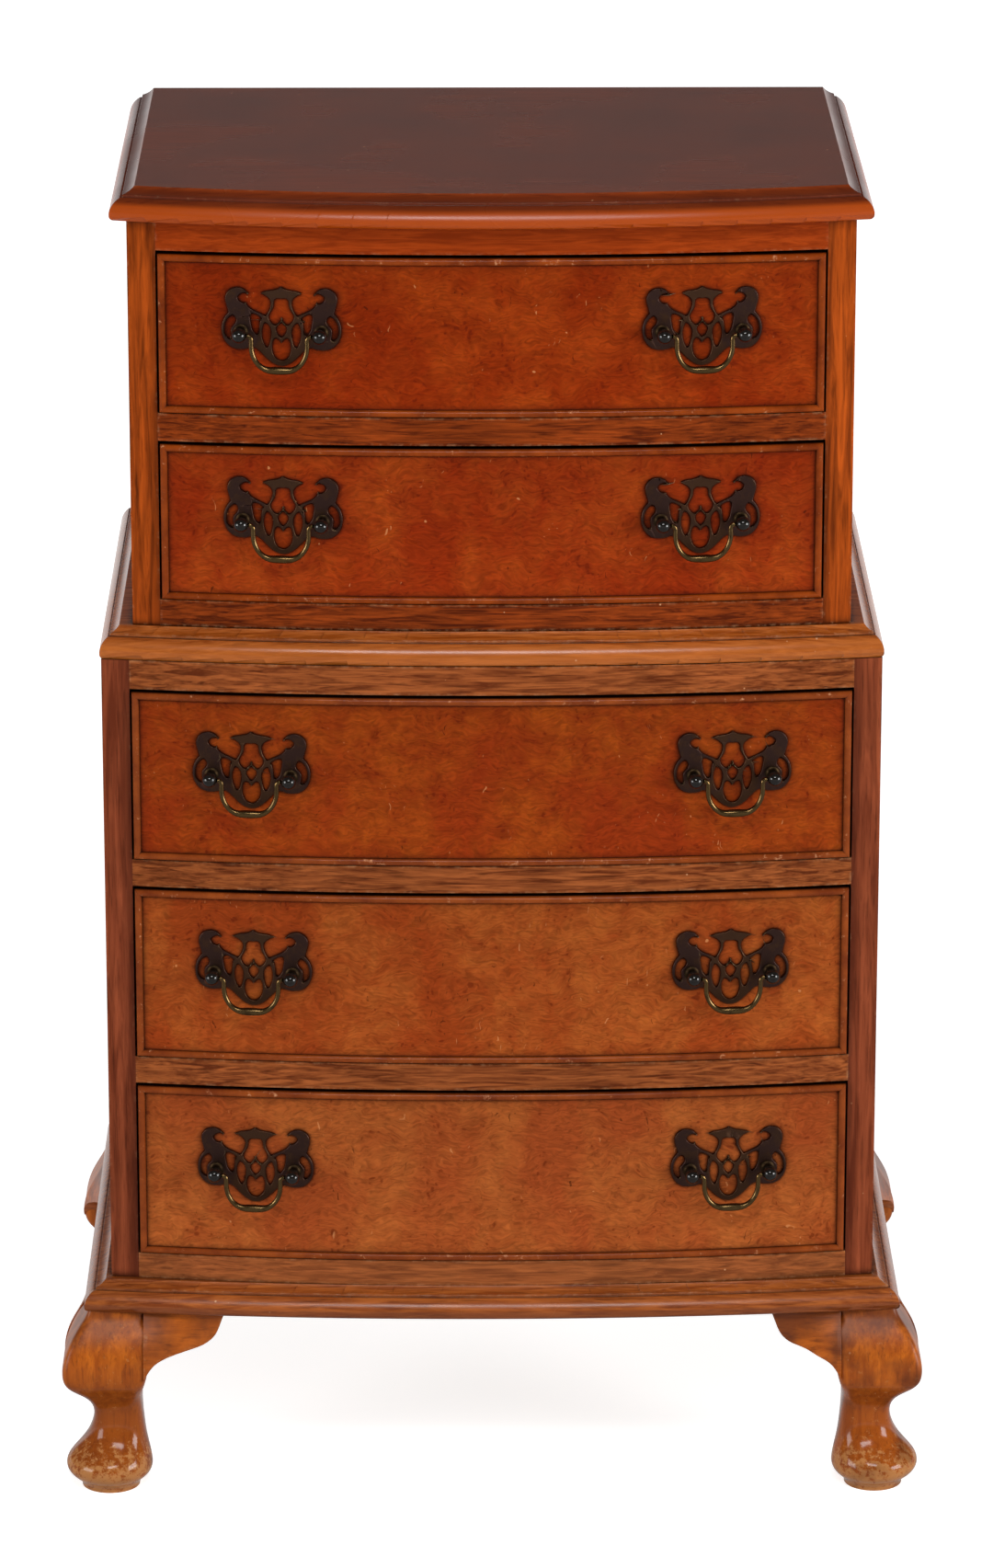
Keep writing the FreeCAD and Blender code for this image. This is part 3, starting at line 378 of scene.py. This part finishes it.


# Drawers: fronts veneered in burr walnut on a sawn bow, with round-nosed beads let in round them, and
# dovetailed oak boxes behind. Waxed over the old polish, with grime and painted shade along the beads and
# round the handles.

def burr_walnut(name, pale, deep, red, seed, foot, head):
    """Burr walnut veneer: warped clouds of figure, upright red patches, small dark eyes in clusters and fine
    curled grain, with painted shade darkening it towards the head of the drawer and painted light paling
    its foot. Grime and painted shade along the beads and round the handles, short cracks along the grain,
    and a few pale scratches and nicks."""
    material = bpy.data.materials.new(name)
    material.use_nodes = True
    tree = material.node_tree
    shader = tree.nodes["Principled BSDF"]
    spot = add(tree, "TexCoord").outputs["Object"]
    place = add(tree, "Mapping", {"Vector": spot, "Location": seed}).outputs[0]
    swirl = add(tree, "TexNoise", {"Vector": place, "Scale": 1000 / 28, "Detail": 3.0}).outputs["Color"]
    warped = add(tree, "MixRGB", {"Fac": 0.022, "Color1": place, "Color2": swirl}, blend_type="ADD")
    clouds = add(tree, "TexNoise", {"Vector": warped, "Scale": 1000 / 20, "Detail": 6.0, "Roughness": 0.66})
    shade = add(tree, "MapRange", {"Value": clouds, "From Min": 0.34, "From Max": 0.66})
    wood = add(tree, "MixRGB", {"Fac": shade, "Color1": linear(pale), "Color2": linear(deep)})
    upright = add(tree, "Mapping", {"Vector": warped, "Scale": (1.0, 1.0, 0.5)})
    stain = add(tree, "TexNoise", {"Vector": upright, "Scale": 1000 / 55, "Detail": 4.0})
    blush = add(tree, "MapRange", {"Value": stain, "From Min": 0.46, "From Max": 0.62, "To Max": 0.8})
    wood = add(tree, "MixRGB", {"Fac": blush, "Color1": wood, "Color2": linear(red)})
    level = add(tree, "Mapping", {"Vector": warped, "Scale": (0.3, 0.3, 1.0)})
    curls = add(tree, "TexNoise", {"Vector": level, "Scale": 1000 / 2.6, "Detail": 3.0, "Distortion": 1.6})
    tone = add(tree, "MapRange", {"Value": curls, "From Min": 0.3, "From Max": 0.7, "To Min": 0.72,
                                  "To Max": 1.28})
    wood = add(tree, "MixRGB", {"Fac": 1.0, "Color1": wood, "Color2": tone}, blend_type="MULTIPLY")
    # Painted shade towards the head of the drawer, under its bead, and painted bounce light towards its foot
    height = add(tree, "SeparateXYZ", {0: spot}).outputs["Z"]
    lit_foot_shaded_head = add(tree, "MapRange", {"Value": height, "From Min": foot, "From Max": head, "To Min": 1.07,
                                   "To Max": 0.88})
    wood = add(tree, "MixRGB", {"Fac": 1.0, "Color1": wood, "Color2": lit_foot_shaded_head}, blend_type="MULTIPLY")
    eyes = add(tree, "TexVoronoi", {"Vector": warped, "Scale": 1000 / 5})
    crowd = add(tree, "MapRange", {"Value": clouds, "From Min": 0.44, "From Max": 0.63, "To Min": 0.0,
                                   "To Max": 0.35})
    pip = add(tree, "Math", {0: crowd, 1: eyes}, operation="SUBTRACT")
    pip = add(tree, "MapRange", {"Value": pip, "From Min": 0.0, "From Max": 0.12, "To Max": 0.5})
    wood = add(tree, "MixRGB", {"Fac": pip, "Color1": wood, "Color2": linear("#571505")})
    # Dark along the beads and round the handles: grime, and painted shade in these recesses
    corners = add(tree, "AmbientOcclusion", {"Distance": 0.009}, samples=6).outputs["AO"]
    dirt_and_shade = add(tree, "MapRange", {"Value": corners, "From Min": 0.6, "From Max": 0.99, "To Min": 1.0,
                                  "To Max": 0.0})
    wood = add(tree, "MixRGB", {"Fac": dirt_and_shade, "Color1": wood, "Color2": linear("#230c05")})
    bent = add(tree, "MixRGB", {"Fac": 0.03, "Color1": place, "Color2": swirl}, blend_type="ADD")
    slant = add(tree, "Mapping", {"Vector": bent, "Rotation": (0, 0.5, 0), "Scale": (1.0, 1.0, 1 / 9)})
    lines = add(tree, "TexNoise", {"Vector": slant, "Scale": 1000 / 1.3, "Detail": 0.0})
    where = add(tree, "TexNoise", {"Vector": place, "Scale": 1000 / 24, "Detail": 1.0})
    crack = add(tree, "MapRange", {"Value": lines, "From Min": 0.23, "From Max": 0.19})
    crack_gate = add(tree, "MapRange", {"Value": where, "From Min": 0.43, "From Max": 0.39, "To Max": 0.6})
    crack = add(tree, "Math", {0: crack, 1: crack_gate}, operation="MULTIPLY")
    wood = add(tree, "MixRGB", {"Fac": crack, "Color1": wood, "Color2": linear("#2c0e05")})
    scratch = add(tree, "MapRange", {"Value": lines, "From Min": 0.78, "From Max": 0.83})
    gate = add(tree, "MapRange", {"Value": where, "From Min": 0.6, "From Max": 0.64, "To Max": 0.5})
    scratch = add(tree, "Math", {0: scratch, 1: gate}, operation="MULTIPLY")
    dents = add(tree, "TexVoronoi", {"Vector": warped, "Scale": 1000 / 20})
    lone = add(tree, "SeparateColor", {"Color": dents.outputs["Color"]}).outputs["Red"]
    size = add(tree, "MapRange", {"Value": lone, "From Min": 0.6, "From Max": 1.0, "To Max": 0.06})
    nick = add(tree, "Math", {0: dents.outputs["Distance"], 1: size}, operation="LESS_THAN")
    nick = add(tree, "Math", {0: nick, 1: 0.55}, operation="MULTIPLY")
    marks = add(tree, "Math", {0: scratch, 1: nick}, operation="MAXIMUM")
    wood = add(tree, "MixRGB", {"Fac": marks, "Color1": wood, "Color2": linear("#cf8a55")})
    tree.links.new(wood.outputs[0], shader.inputs["Base Color"])
    dull = add(tree, "MapRange", {"Value": clouds, "From Min": 0.3, "From Max": 0.7, "To Min": 0.26,
                                  "To Max": 0.34})
    tree.links.new(dull.outputs[0], shader.inputs["Roughness"])
    shader.inputs["Specular IOR Level"].default_value = 0.05
    return material


def bead_walnut(name, pale, deep):
    """Thin round-nosed strip of straight walnut: reddish, glossy on the crest, black at its foot with
    grime and painted shade, and chipped pale here and there on the crest."""
    material = bpy.data.materials.new(name)
    material.use_nodes = True
    tree = material.node_tree
    shader = tree.nodes["Principled BSDF"]
    place = add(tree, "TexCoord").outputs["Object"]
    blotches = add(tree, "TexNoise", {"Vector": place, "Scale": 1000 / 25, "Detail": 5.0, "Roughness": 0.65})
    shade = add(tree, "MapRange", {"Value": blotches, "From Min": 0.35, "From Max": 0.65})
    wood = add(tree, "MixRGB", {"Fac": shade, "Color1": linear(pale), "Color2": linear(deep)})
    # Black at the foot of the bead: grime, and painted shade where it meets the veneer
    foot = add(tree, "AmbientOcclusion", {"Distance": 0.004}, samples=6).outputs["AO"]
    dirt_and_shade = add(tree, "MapRange", {"Value": foot, "From Min": 0.55, "From Max": 0.96, "To Min": 1.0,
                                  "To Max": 0.0})
    wood = add(tree, "MixRGB", {"Fac": dirt_and_shade, "Color1": wood, "Color2": linear("#1a0804")})
    crest = add(tree, "MapRange", {"Value": foot, "From Min": 0.86, "From Max": 0.96})
    knocks = add(tree, "TexNoise", {"Vector": place, "Scale": 1000 / 6, "Detail": 6.0, "Roughness": 0.75})
    chips = add(tree, "MapRange", {"Value": knocks, "From Min": 0.6, "From Max": 0.68, "To Max": 0.8})
    chips = add(tree, "Math", {0: chips, 1: crest}, operation="MULTIPLY")
    wood = add(tree, "MixRGB", {"Fac": chips, "Color1": wood, "Color2": linear("#c98c62")})
    tree.links.new(wood.outputs[0], shader.inputs["Base Color"])
    shader.inputs["Roughness"].default_value = 0.15
    shader.inputs["Specular IOR Level"].default_value = 0.14
    return material


DRAWERS = ("drawer_upper_1", "drawer_upper_2", "drawer_lower_1", "drawer_lower_2", "drawer_lower_3")
VENEERS = (("#91370c", "#7c2706", "#772004"), ("#973d10", "#812a0a", "#7d2206"),
           ("#94400f", "#7a2b0a", "#80280a"), ("#a1521f", "#883a14", "#883410"),
           ("#a65826", "#8e431b", "#913f1a"))
upper_beads = bead_walnut("upper_bead_walnut", "#93400f", "#682708")
lower_beads = bead_walnut("lower_bead_walnut", "#8f4418", "#6a2c10")
lining_oak = planed_bare_wood("drawer_lining_oak", "y", "#b8895c", "#966840")
for number, (drawer, shades) in enumerate(zip(DRAWERS, VENEERS)):
    low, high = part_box(drawer + "_front")
    veneer = burr_walnut(drawer + "_burr_walnut", *shades, seed=(0.31 * number, 0.17, 0.53 * number),
                         foot=low[2], head=high[2])
    dress(veneer, drawer + "_front")
    dress(upper_beads if "upper" in drawer else lower_beads, drawer + "_beads")
    dress(lining_oak, drawer + "_box", drawer + "_bottom")


# Handles: sand-cast brass plates with soft filed edges, turned posts with ball heads bolted through the
# drawer front, and cast bails that swing between the balls. Bronzed brown, rubbed bright on the grips.

def old_brass(name, dark, mid, rubbed, metallic, roughness, edge_mm):
    """Cast brass under bronze lacquer: dark on the wings and olive in the middle of a plate, blotched, with
    the brown worn off along the edges and a painted highlight along them."""
    material = bpy.data.materials.new(name)
    material.use_nodes = True
    tree = material.node_tree
    shader = tree.nodes["Principled BSDF"]
    place = add(tree, "TexCoord").outputs["Object"]
    across = add(tree, "Attribute", attribute_name="across_mm").outputs["Fac"]
    wing = add(tree, "MapRange", {"Value": across, "From Min": 11.0, "From Max": 17.0, "To Min": -0.12,
                                  "To Max": 0.1})
    blotches = add(tree, "TexNoise", {"Vector": place, "Scale": 1000 / 7, "Detail": 4.0, "Roughness": 0.65})
    brown = add(tree, "Math", {0: blotches, 1: wing}, operation="ADD")
    brown = add(tree, "MapRange", {"Value": brown, "From Min": 0.4, "From Max": 0.62})
    metal = add(tree, "MixRGB", {"Fac": brown, "Color1": linear(mid), "Color2": linear(dark)})
    # Paler along the edges: brass worn bright there, and a painted highlight where the edges catch the light
    arris = add(tree, "AmbientOcclusion", {"Distance": edge_mm / 1000}, samples=6, inside=True,
                only_local=True).outputs["AO"]
    worn_and_glinting = add(tree, "MapRange", {"Value": arris, "From Min": 0.55, "From Max": 0.25, "To Max": 0.7})
    worn_and_glinting = add(tree, "Math", {0: worn_and_glinting, 1: blotches}, operation="MULTIPLY")
    metal = add(tree, "MixRGB", {"Fac": worn_and_glinting, "Color1": metal, "Color2": linear(rubbed)})
    tree.links.new(metal.outputs[0], shader.inputs["Base Color"])
    shader.inputs["Metallic"].default_value = metallic
    dull = add(tree, "MapRange", {"Value": blotches, "From Min": 0.3, "From Max": 0.7, "To Min": roughness,
                                  "To Max": roughness + 0.12})
    tree.links.new(dull.outputs[0], shader.inputs["Roughness"])
    return material


def handle_ways(points, drawer):
    """For each point, the middle of its handle on the bails' hinge line, the way along the front there and
    the way out of it. A bail's hinge runs along the front, so its axis gives both ways."""
    sides = (points[:, 0] >= 0).astype(int)
    pair = [hinges[drawer + "_bail_" + side] for side in ("left", "right")]
    middle = np.array([hinge["pos_m"] for hinge in pair])[sides]
    along = -np.array([hinge["axis"] for hinge in pair])[sides]
    return middle, along, np.cross(along, (0.0, 0.0, 1.0))


def plate_pieces(drawer):
    """The drawer's two pierced plates, filed and drawn out by hand. Each point of a wall moves back along the
    wall's normal, which opens the piercings. Then what lies beyond the posts is drawn out along the front in
    proportion to its distance from them, and what lies under or over the hinge line down or up."""
    piece = merged_copy(drawer + "_plates", drawer + "_pierced_plates", weld=0.0002)
    mesh = piece.data
    points = np.empty(len(mesh.vertices) * 3)
    mesh.vertices.foreach_get("co", points)
    points = points.reshape(-1, 3)
    corners = np.empty(len(mesh.loops), dtype=int)
    mesh.loops.foreach_get("vertex_index", corners)
    corners = corners.reshape(-1, 3)
    facing = np.empty(len(mesh.polygons) * 3)
    mesh.polygons.foreach_get("normal", facing)
    facing = facing.reshape(-1, 3)
    middle, along, out = handle_ways(points, drawer)
    wall = np.abs((facing * out[corners[:, 0]]).sum(axis=1)) < 0.5
    normal = np.zeros_like(points)
    np.add.at(normal, corners[wall].ravel(), np.repeat(facing[wall], 3, axis=0))
    normal /= np.maximum(np.linalg.norm(normal, axis=1), 1e-9)[:, None]
    points = points - PLATE_FILED * normal
    across = ((points - middle) * along).sum(axis=1)
    height = points[:, 2] - middle[:, 2]
    across += PLATE_WIDER * np.sign(across) * np.maximum(np.abs(across) - PLATE_POSTS, 0.0)
    points += (across - ((points - middle) * along).sum(axis=1))[:, None] * along
    points[:, 2] += np.where(height < 0, PLATE_LOWER, PLATE_HIGHER) * height
    mesh.vertices.foreach_set("co", points.ravel())
    mesh.update()
    mesh.attributes.new("across_mm", "FLOAT", "POINT").data.foreach_set("value", np.abs(across) * 1000)
    mesh.materials.append(plate_brass)
    filed = piece.modifiers.new("filed_edges", "BEVEL")
    filed.width = PLATE_EASED
    filed.use_clamp_overlap = False
    filed.segments = 2
    filed.limit_method = "ANGLE"
    filed.angle_limit = PLATE_EDGE_ANGLE
    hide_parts(drawer + "_plates")
    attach(piece, drawer)


def post_pieces(drawer):
    """The drawer's four posts: black ball heads and necks, brown collars, shanks and nuts."""
    piece = merged_copy(drawer + "_posts", drawer + "_ball_posts", weld=0.000001)
    mesh = piece.data
    faces = np.empty(len(mesh.polygons) * 3)
    mesh.polygons.foreach_get("center", faces)
    faces = faces.reshape(-1, 3)
    middle, _, out = handle_ways(faces, drawer)
    mesh.materials.append(collar_brass)
    mesh.materials.append(ball_brass)
    in_front = ((faces - middle) * out).sum(axis=1) > NECK_BACK
    mesh.polygons.foreach_set("material_index", in_front.astype(int))
    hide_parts(drawer + "_posts")
    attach(piece, drawer)


def swept_mesh(name, rings):
    """A mesh from rings of points, one ring a row, each joined to the next and closed round. A ring shrunk to
    a point closes an end."""
    count, around = rings.shape[:2]
    corner = np.arange(count * around).reshape(count, around)
    step = np.roll(corner, -1, axis=1)
    quads = np.stack((corner[:-1], corner[1:], step[1:], step[:-1]), axis=-1).reshape(-1, 4)
    work = bmesh.new()
    rough = bpy.data.meshes.new(name)
    rough.from_pydata(rings.reshape(-1, 3).tolist(), [], quads.tolist())
    work.from_mesh(rough)
    bmesh.ops.remove_doubles(work, verts=work.verts, dist=1e-7)
    bmesh.ops.recalc_face_normals(work, faces=work.faces)
    work.to_mesh(rough)
    work.free()
    rough.shade_smooth()
    return rough


def bail_piece(drawer, side):
    """A cast bail: a round section carried along a hanging U, from pins in the balls through quarter-round
    elbows, short arms and quarter-ellipse corners to a level grip. Its radius swells towards the middle of
    the grip as a squared cosine of the distance along the front."""
    hinge = hinges[drawer + "_bail_" + side]
    tangent = -np.array(hinge["axis"])
    outward = np.cross(tangent, (0.0, 0.0, 1.0))
    turn = np.linspace(0.0, np.pi / 2, 10)
    flat = BAIL_END - BAIL_ELBOW - BAIL_CORNER_WIDE
    level = np.linspace(flat, 0.0, 7)[1:]
    along = np.concatenate((BAIL_PIN_TIP + np.zeros(2), BAIL_END + np.zeros(2),
                            BAIL_END - BAIL_ELBOW * np.sin(turn[1:]), flat + BAIL_CORNER_WIDE * np.cos(turn),
                            level))
    down = np.concatenate((np.zeros(4), BAIL_ELBOW * (np.cos(turn[1:]) - 1),
                           BAIL_CORNER_TALL * (1 - np.sin(turn)) - BAIL_DROP, 0 * level - BAIL_DROP))
    bend = np.arctan2(BAIL_CORNER_TALL * np.cos(turn), BAIL_CORNER_WIDE * np.sin(turn))
    heading = np.concatenate((np.zeros(4), turn[1:], bend, 0 * level))
    swell = np.cos(np.pi / 2 * np.minimum(along / BAIL_SWELL_REACH, 1.0)) ** 2
    radius = BAIL_ARM + (BAIL_GRIP - BAIL_ARM) * swell
    radius[:3] = (0.0, BAIL_PIN, BAIL_PIN)

    def whole(half, sign):
        return np.concatenate((half, sign * half[-2::-1]))[:, None, None]

    round_it = np.linspace(0.0, 2 * np.pi, 24, endpoint=False)[None, :, None]
    across = whole(radius, 1) * np.cos(round_it)
    rings = (np.array(hinge["pos_m"]) + (whole(along, -1) + across * whole(np.sin(heading), -1)) * tangent
             + (whole(down, 1) - across * whole(np.cos(heading), 1)) * np.array((0.0, 0.0, 1.0))
             + whole(radius, 1) * np.sin(round_it) * outward)
    mesh = swept_mesh(drawer + "_cast_bail_" + side, rings)
    mesh.materials.append(bail_brass)
    piece = bpy.data.objects.new(mesh.name, mesh)
    bpy.context.scene.collection.objects.link(piece)
    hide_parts(drawer + "_bail_" + side)
    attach(piece, drawer + "_bail_" + side)


# Sizes in metres; wider, lower and higher are shares of the distance from the posts or the hinge line
PLATE_FILED, PLATE_POSTS, PLATE_EASED, NECK_BACK = 0.0006, 0.024, 0.00028, -0.0075
PLATE_WIDER, PLATE_LOWER, PLATE_HIGHER = 0.18, 0.16, 0.03
PLATE_EDGE_ANGLE = math.radians(50)
BAIL_END, BAIL_PIN_TIP, BAIL_DROP, BAIL_ELBOW = 0.0202, 0.0235, 0.0220, 0.0026
BAIL_CORNER_WIDE, BAIL_CORNER_TALL, BAIL_SWELL_REACH = 0.0125, 0.0152, 0.0155
BAIL_PIN, BAIL_ARM, BAIL_GRIP = 0.00125, 0.0016, 0.0026
hinges = {joint["child"]: joint for joint in frame["joints"]}
plate_brass = old_brass("plate_brass_bronzed", "#44302b", "#52392a", "#a08660", metallic=1.0,
                        roughness=0.36, edge_mm=0.7)
collar_brass = old_brass("collar_brass_bronzed", "#241a15", "#342719", "#5a4834", metallic=1.0,
                         roughness=0.42, edge_mm=0.4)
ball_brass = old_brass("ball_brass_black_lacquered", "#0e0b09", "#15110e", "#221c16", metallic=0.0,
                       roughness=0.06, edge_mm=0.2)
ball_brass.node_tree.nodes["Principled BSDF"].inputs["Specular IOR Level"].default_value = 0.45
bail_brass = old_brass("bail_brass_rubbed", "#463624", "#6a5434", "#94805a", metallic=1.0, roughness=0.2,
                       edge_mm=0.4)
for drawer in DRAWERS:
    plate_pieces(drawer)
    post_pieces(drawer)
    bail_piece(drawer, "left")
    bail_piece(drawer, "right")


# Studio: a wide white floor, a white surround that darkens upwards, two low soft boxes at the sides, one high
# in front, and the camera.

HALF_FLOOR = 30.0
floor_mesh = bpy.data.meshes.new("floor")
floor_corners = [(x * HALF_FLOOR, y * HALF_FLOOR, 0.0) for x, y in ((-1, -1), (1, -1), (1, 1), (-1, 1))]
floor_mesh.from_pydata(floor_corners, [], [(0, 1, 2, 3)])
floor = bpy.data.objects.new("floor", floor_mesh)
bpy.context.scene.collection.objects.link(floor)
paper = bpy.data.materials.new("white_paper")
paper.use_nodes = True
tree = paper.node_tree
rays = add(tree, "LightPath")
# The paper is lit more strongly behind the piece, as a backdrop is, and evenly white further off
spot = add(tree, "TexCoord").outputs["Object"]
depth = add(tree, "SeparateXYZ", {0: spot}).outputs["Y"]
behind = add(tree, "MapRange", {"Value": depth, "From Min": -0.2, "From Max": 0.6, "To Min": 0.3,
                                "To Max": 1.0})
away = add(tree, "VectorMath", {0: spot}, operation="LENGTH").outputs["Value"]
around = add(tree, "MapRange", {"Value": away, "From Min": 0.5, "From Max": 2.2, "To Min": 0.76,
                                "To Max": 1.0})
mirrored = add(tree, "Math", {0: rays.outputs["Is Glossy Ray"], 1: rays.outputs["Is Transmission Ray"]},
               operation="MAXIMUM")
shown = add(tree, "Math", {0: mirrored, 1: behind}, operation="MULTIPLY")
glow = add(tree, "Math", {0: rays.outputs["Is Camera Ray"], 1: around, 2: shown}, operation="MULTIPLY_ADD")
white = add(tree, "Emission", {"Color": (1, 1, 1, 1), "Strength": glow})
dim = add(tree, "MapRange", {"Value": mirrored, "To Min": 0.8, "To Max": 0.1})
matt = add(tree, "BsdfDiffuse", {"Color": dim})
both = add(tree, "AddShader", {0: white, 1: matt})
tree.links.new(both.outputs[0], tree.nodes["Material Output"].inputs["Surface"])
# The glow is there to be seen and mirrored, not to light the piece
paper.cycles.emission_sampling = "NONE"
floor_mesh.materials.append(paper)

# Strength of the surround as light, and the heights over the horizon, in degrees, between which it darkens
SKY_LIGHT, WHITE_BELOW, DARK_ABOVE = 0.21, 2, 8
world = bpy.data.worlds.new("studio")
world.use_nodes = True
bpy.context.scene.world = world
tree = world.node_tree
way = add(tree, "TexCoord").outputs["Generated"]
up = add(tree, "SeparateXYZ", {0: way}).outputs["Z"]
level = add(tree, "MapRange", {"Value": up, "From Min": math.sin(math.radians(WHITE_BELOW)),
                               "From Max": math.sin(math.radians(DARK_ABOVE)), "To Min": 1.0, "To Max": 0.1})
rays = add(tree, "LightPath")
seen = add(tree, "Math", {0: rays.outputs["Is Camera Ray"], 1: rays.outputs["Is Glossy Ray"]},
           operation="MAXIMUM")
seen = add(tree, "Math", {0: seen, 1: rays.outputs["Is Transmission Ray"]}, operation="MAXIMUM")
strength = add(tree, "Mix", {"Factor": seen, "A": SKY_LIGHT, "B": level})
tree.links.new(strength.outputs[0], tree.nodes["Background"].inputs["Strength"])
tree.nodes["Background"].inputs["Color"].default_value = (1, 1, 1, 1)

# Each soft box: name, place, width, height and watts
LIT_POINT = (0.0, 0.0, 0.45)
SOFT_BOXES = (("left", (-2.6, -1.5, 0.95), 1.3, 1.1, 38.0), ("right", (2.6, -1.5, 0.95), 1.3, 1.1, 60.0),
              ("front", (0.0, -2.4, 2.6), 1.2, 0.6, 30.0))
for name, place, wide, tall, watts in SOFT_BOXES:
    lamp = bpy.data.lights.new("soft_box_" + name, "AREA")
    lamp.shape = "RECTANGLE"
    lamp.size, lamp.size_y = wide, tall
    lamp.energy = watts
    box = bpy.data.objects.new("soft_box_" + name, lamp)
    box.location = place
    aim = np.array(LIT_POINT) - np.array(place)
    box.rotation_euler = (math.acos(-aim[2] / np.linalg.norm(aim)), 0.0, math.atan2(-aim[0], aim[1]))
    bpy.context.scene.collection.objects.link(box)

# Camera matched to the photograph: place in metres, angles in degrees, focal length in its pixels
CAMERA_AT = (-0.03022, -4.36411, 1.78835)
LOOK_DOWN, LOOK_ASIDE = 17.21, 0.45
FOCAL_PIXELS, PHOTO_TALL = 7500.0, 1705.0
lens = bpy.data.cameras.new("camera")
lens.sensor_width = 36.0
lens.lens = lens.sensor_width * FOCAL_PIXELS / PHOTO_TALL
camera = bpy.data.objects.new("camera", lens)
camera.location = CAMERA_AT
camera.rotation_euler = (math.radians(90 - LOOK_DOWN), 0.0, math.radians(-LOOK_ASIDE))
bpy.context.scene.collection.objects.link(camera)
bpy.context.scene.camera = camera
bpy.context.scene.view_settings.view_transform = "Standard"
